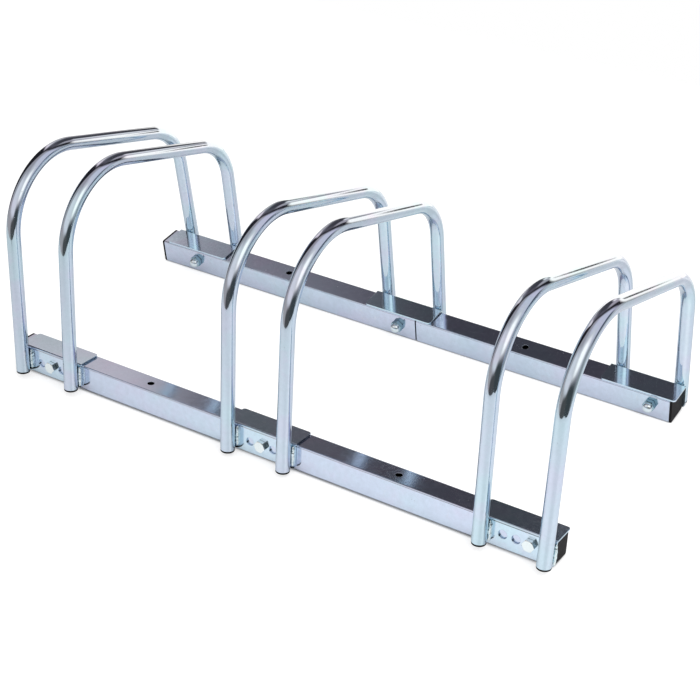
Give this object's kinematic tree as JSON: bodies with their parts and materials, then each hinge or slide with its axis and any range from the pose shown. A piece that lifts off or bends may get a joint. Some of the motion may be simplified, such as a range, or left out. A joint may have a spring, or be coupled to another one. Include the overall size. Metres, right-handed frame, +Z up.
{
  "type": "bicycle rack",
  "caption": "Floor rack that holds bicycles by the front wheel between paired bent tube hoops, which are welded to folded brackets bolted over two square rails.",
  "frame": {"origin": "on the floor, midway between the two rails and midway along the rack", "axes": "+X along the rails, left to right as seen from the front; +Y from the front rail, where the tall bends are, to the rear rail; +Z up"},
  "size_m": [0.7106, 0.3498, 0.2559],
  "materials": {
    "zinc": "bright zinc plating with a faint blue passivation, glossy, lightly mottled",
    "bolt_zinc": "bright zinc plated fasteners, semi-gloss",
    "plastic": "black moulded polyethylene, matt"
  },
  "bodies": {
    "root": {"bolt_front_left": "bolt_zinc", "bolt_front_middle": "bolt_zinc", "bolt_front_right": "bolt_zinc", "bolt_rear_left": "bolt_zinc", "bolt_rear_middle": "bolt_zinc", "bolt_rear_right": "bolt_zinc", "bracket_front_left": "zinc", "bracket_front_middle": "zinc", "bracket_front_right": "zinc", "bracket_rear_left": "zinc", "bracket_rear_middle": "zinc", "bracket_rear_right": "zinc", "end_cap_front_left": "plastic", "end_cap_front_right": "plastic", "end_cap_rear_left": "plastic", "end_cap_rear_right": "plastic", "foot_plug_front_1": "plastic", "foot_plug_front_2": "plastic", "foot_plug_front_3": "plastic", "foot_plug_front_4": "plastic", "foot_plug_front_5": "plastic", "foot_plug_front_6": "plastic", "foot_plug_rear_1": "plastic", "foot_plug_rear_2": "plastic", "foot_plug_rear_3": "plastic", "foot_plug_rear_4": "plastic", "foot_plug_rear_5": "plastic", "foot_plug_rear_6": "plastic", "hoop_1": "zinc", "hoop_2": "zinc", "hoop_3": "zinc", "hoop_4": "zinc", "hoop_5": "zinc", "hoop_6": "zinc", "nut_front_left": "bolt_zinc", "nut_front_middle": "bolt_zinc", "nut_front_right": "bolt_zinc", "nut_rear_left": "bolt_zinc", "nut_rear_middle": "bolt_zinc", "nut_rear_right": "bolt_zinc", "rail_front_left": "zinc", "rail_front_right": "zinc", "rail_rear_left": "zinc", "rail_rear_right": "zinc"}
  },
  "joints": []
}
